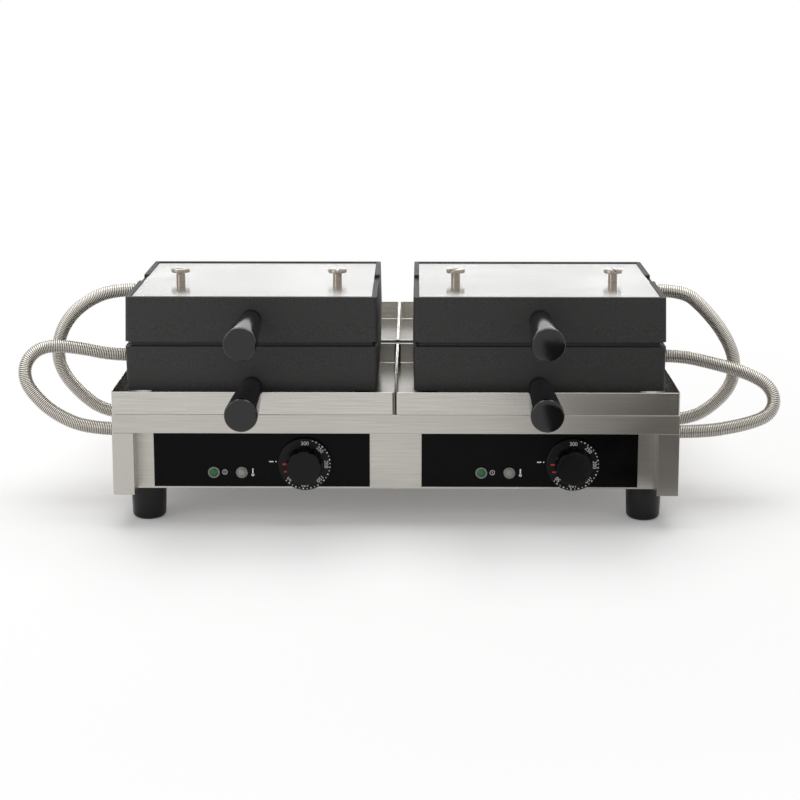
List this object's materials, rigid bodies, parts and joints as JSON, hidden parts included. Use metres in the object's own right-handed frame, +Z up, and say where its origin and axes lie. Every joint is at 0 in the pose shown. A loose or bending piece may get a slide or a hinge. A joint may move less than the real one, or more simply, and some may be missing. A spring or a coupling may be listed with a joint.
{
  "type": "double waffle maker",
  "caption": "Countertop waffle maker with two turn-over irons side by side, each a hinged pair of heated plates over drip trays, with dials, lamps and side conduits.",
  "frame": {"origin": "on the table, under the middle of the box round the part without its conduits", "axes": "+Z up, +X to the right as seen from the front, +Y from the handles and dials towards the rear trays"},
  "size_m": [0.9045, 0.654, 0.2795],
  "materials": {
    "brushed": "brushed, level grain",
    "tray_steel": "brushed",
    "cover_steel": "fine brushed, nearly mirror",
    "dark_steel": "dark, satin",
    "casing": "fine textured, matt dark grey",
    "iron": "cast, seasoned",
    "element": "dull",
    "handle": "glossy black, heat resistant",
    "lock": "nickel plated",
    "screw": "bright",
    "foot_plastic": "satin black",
    "gland_plastic": "black",
    "label": "satin black film",
    "inner_plastic": "plain",
    "green_lens": "clear green",
    "clear_lens": "clear",
    "bezel": "bright",
    "knob": "satin black",
    "hose": "wound steel strip"
  },
  "bodies": {
    "chassis": {"deck": "brushed", "left_side_panel": "brushed", "right_side_panel": "brushed", "front_panel": "brushed", "rear_panel": "brushed", "base_plate": "brushed", "hinge_beam": "dark_steel", "feet": "foot_plastic", "base_screws": "screw", "mains_glands": "gland_plastic", "front_left_tray": "tray_steel", "front_right_tray": "tray_steel", "rear_left_tray": "tray_steel", "rear_right_tray": "tray_steel", "control_plates": "label", "thermostats": "inner_plastic", "power_lamps": "green_lens", "heat_lamps": "clear_lens", "lamp_bezels": "bezel", "hinge_posts": "dark_steel", "hinge_axles": "screw", "chassis_glands": "screw", "left_lower_hose": "hose", "left_upper_hose": "hose", "right_lower_hose": "hose", "right_upper_hose": "hose"},
    "left_lower_shell": {"left_lower_casing": "casing", "left_lower_cover": "cover_steel", "left_lower_cooking_plate": "iron", "left_lower_heater": "element", "left_lower_handle": "handle", "left_lower_gland": "screw"},
    "left_upper_shell": {"left_upper_casing": "casing", "left_upper_cover": "cover_steel", "left_upper_cooking_plate": "iron", "left_upper_heater": "element", "left_upper_handle": "handle", "left_upper_gland": "screw"},
    "left_lower_lock_a_body": {"left_lower_lock_a": "lock"},
    "left_lower_lock_b_body": {"left_lower_lock_b": "lock"},
    "left_upper_lock_a_body": {"left_upper_lock_a": "lock"},
    "left_upper_lock_b_body": {"left_upper_lock_b": "lock"},
    "left_knob_body": {"left_thermostat_knob": "knob"},
    "right_lower_shell": {"right_lower_casing": "casing", "right_lower_cover": "cover_steel", "right_lower_cooking_plate": "iron", "right_lower_heater": "element", "right_lower_handle": "handle", "right_lower_gland": "screw"},
    "right_upper_shell": {"right_upper_casing": "casing", "right_upper_cover": "cover_steel", "right_upper_cooking_plate": "iron", "right_upper_heater": "element", "right_upper_handle": "handle", "right_upper_gland": "screw"},
    "right_lower_lock_a_body": {"right_lower_lock_a": "lock"},
    "right_lower_lock_b_body": {"right_lower_lock_b": "lock"},
    "right_upper_lock_a_body": {"right_upper_lock_a": "lock"},
    "right_upper_lock_b_body": {"right_upper_lock_b": "lock"},
    "right_knob_body": {"right_thermostat_knob": "knob"}
  },
  "joints": [
    {"name": "left_iron_flip", "type": "hinge", "parent": "chassis", "child": "left_lower_shell", "pos_m": [-0.1622, 0.059, 0.2124], "axis": [-1, 0, 0], "range_deg": [0, 90], "deforming": ["left_lower_hose", "left_upper_hose"]},
    {"name": "left_iron_open", "type": "hinge", "parent": "left_lower_shell", "child": "left_upper_shell", "pos_m": [-0.1622, 0.059, 0.2124], "axis": [-1, 0, 0], "range_deg": [0, 90], "deforming": ["left_upper_hose"]},
    {"name": "left_lower_lock_a_turn", "type": "hinge", "parent": "left_lower_shell", "child": "left_lower_lock_a_body", "pos_m": [-0.2547, -0.088, 0.1424], "axis": [0, 0, -1], "range_deg": [0, 90]},
    {"name": "left_lower_lock_b_turn", "type": "hinge", "parent": "left_lower_shell", "child": "left_lower_lock_b_body", "pos_m": [-0.0697, -0.088, 0.1424], "axis": [0, 0, -1], "range_deg": [0, 90]},
    {"name": "left_upper_lock_a_turn", "type": "hinge", "parent": "left_upper_shell", "child": "left_upper_lock_a_body", "pos_m": [-0.2547, -0.088, 0.2824], "axis": [0, 0, 1], "range_deg": [0, 90]},
    {"name": "left_upper_lock_b_turn", "type": "hinge", "parent": "left_upper_shell", "child": "left_upper_lock_b_body", "pos_m": [-0.0697, -0.088, 0.2824], "axis": [0, 0, 1], "range_deg": [0, 90]},
    {"name": "left_thermostat_turn", "type": "hinge", "parent": "chassis", "child": "left_knob_body", "pos_m": [-0.10375, -0.194, 0.07], "axis": [0, 1, 0], "range_deg": [0, 270]},
    {"name": "right_iron_flip", "type": "hinge", "parent": "chassis", "child": "right_lower_shell", "pos_m": [0.1622, 0.059, 0.2124], "axis": [-1, 0, 0], "range_deg": [0, 90], "deforming": ["right_lower_hose", "right_upper_hose"]},
    {"name": "right_iron_open", "type": "hinge", "parent": "right_lower_shell", "child": "right_upper_shell", "pos_m": [0.1622, 0.059, 0.2124], "axis": [-1, 0, 0], "range_deg": [0, 90], "deforming": ["right_upper_hose"]},
    {"name": "right_lower_lock_a_turn", "type": "hinge", "parent": "right_lower_shell", "child": "right_lower_lock_a_body", "pos_m": [0.0697, -0.088, 0.1424], "axis": [0, 0, -1], "range_deg": [0, 90]},
    {"name": "right_lower_lock_b_turn", "type": "hinge", "parent": "right_lower_shell", "child": "right_lower_lock_b_body", "pos_m": [0.2547, -0.088, 0.1424], "axis": [0, 0, -1], "range_deg": [0, 90]},
    {"name": "right_upper_lock_a_turn", "type": "hinge", "parent": "right_upper_shell", "child": "right_upper_lock_a_body", "pos_m": [0.0697, -0.088, 0.2824], "axis": [0, 0, 1], "range_deg": [0, 90]},
    {"name": "right_upper_lock_b_turn", "type": "hinge", "parent": "right_upper_shell", "child": "right_upper_lock_b_body", "pos_m": [0.2547, -0.088, 0.2824], "axis": [0, 0, 1], "range_deg": [0, 90]},
    {"name": "right_thermostat_turn", "type": "hinge", "parent": "chassis", "child": "right_knob_body", "pos_m": [0.20285, -0.194, 0.07], "axis": [0, 1, 0], "range_deg": [0, 270]}
  ]
}
